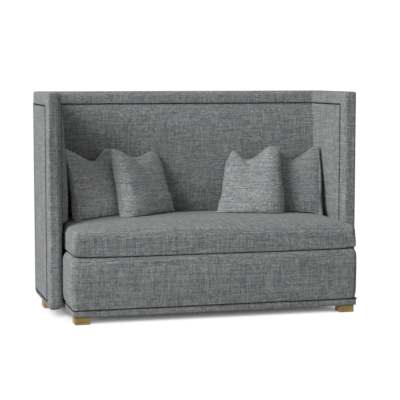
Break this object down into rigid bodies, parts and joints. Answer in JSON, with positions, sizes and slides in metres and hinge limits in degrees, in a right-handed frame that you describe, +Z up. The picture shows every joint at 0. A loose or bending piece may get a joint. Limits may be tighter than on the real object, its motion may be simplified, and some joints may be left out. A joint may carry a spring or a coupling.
{
  "type": "banquette",
  "caption": "High-backed upholstered banquette with full-height wings, nailhead trim, a loose bench cushion, throw pillows and block feet.",
  "frame": {"origin": "on the floor, under the middle of the banquette's box", "axes": "+X to a viewer's right along the seat, +Y towards the back, +Z up, the seat faces -Y"},
  "size_m": [1.8366, 0.8754, 1.268],
  "materials": {
    "tweed": "grey slubbed tweed upholstery",
    "deck_cloth": "plain dark decking over a pad",
    "dust_cloth": "black non-woven cloth",
    "nailhead": "dark bronzed nailheads",
    "steel": "drawn spring wire",
    "foot_wood": "golden stained wood, satin",
    "frame_wood": "raw sawn hardwood"
  },
  "bodies": {
    "root": {"wing_front_border_left": "tweed", "wing_front_border_right": "tweed", "wing_top_border_left": "tweed", "wing_top_border_right": "tweed", "wing_bottom_border_left": "tweed", "wing_bottom_border_right": "tweed", "outside_wing_panel_left": "tweed", "outside_wing_panel_right": "tweed", "inside_wing_panel_left": "tweed", "inside_wing_panel_right": "tweed", "back_top_border": "tweed", "inside_back_panel": "tweed", "outside_back_panel": "tweed", "base_front_panel": "tweed", "base_side_panel_left": "tweed", "base_side_panel_right": "tweed", "plinth_front": "tweed", "plinth_left": "tweed", "plinth_right": "tweed", "seat_cushion": "tweed", "throw_pillow_1": "tweed", "throw_pillow_2": "tweed", "throw_pillow_3": "tweed", "throw_pillow_4": "tweed", "deck_pad": "deck_cloth", "dust_cover": "dust_cloth", "foot_front_left": "foot_wood", "foot_front_right": "foot_wood", "foot_rear_left": "foot_wood", "foot_rear_right": "foot_wood", "nail_trim_inside": "nailhead", "nail_trim_outside_left": "nailhead", "nail_trim_outside_right": "nailhead", "nail_trim_base": "nailhead", "sinuous_springs": "steel", "seat_front_rail": "frame_wood", "seat_rear_rail": "frame_wood", "seat_side_rail_left": "frame_wood", "seat_side_rail_right": "frame_wood", "seat_cross_rail_left": "frame_wood", "seat_cross_rail_right": "frame_wood", "wing_cleat_left": "frame_wood", "wing_cleat_right": "frame_wood", "wing_front_post_left": "frame_wood", "wing_front_post_right": "frame_wood", "wing_top_rail_left": "frame_wood", "wing_top_rail_right": "frame_wood", "wing_seat_rail_left": "frame_wood", "wing_seat_rail_right": "frame_wood", "wing_bottom_rail_left": "frame_wood", "wing_bottom_rail_right": "frame_wood", "back_post_left": "frame_wood", "back_post_right": "frame_wood", "back_top_rail": "frame_wood", "back_seat_rail": "frame_wood", "back_bottom_rail": "frame_wood", "back_stile_left": "frame_wood", "back_stile_right": "frame_wood"}
  },
  "joints": []
}
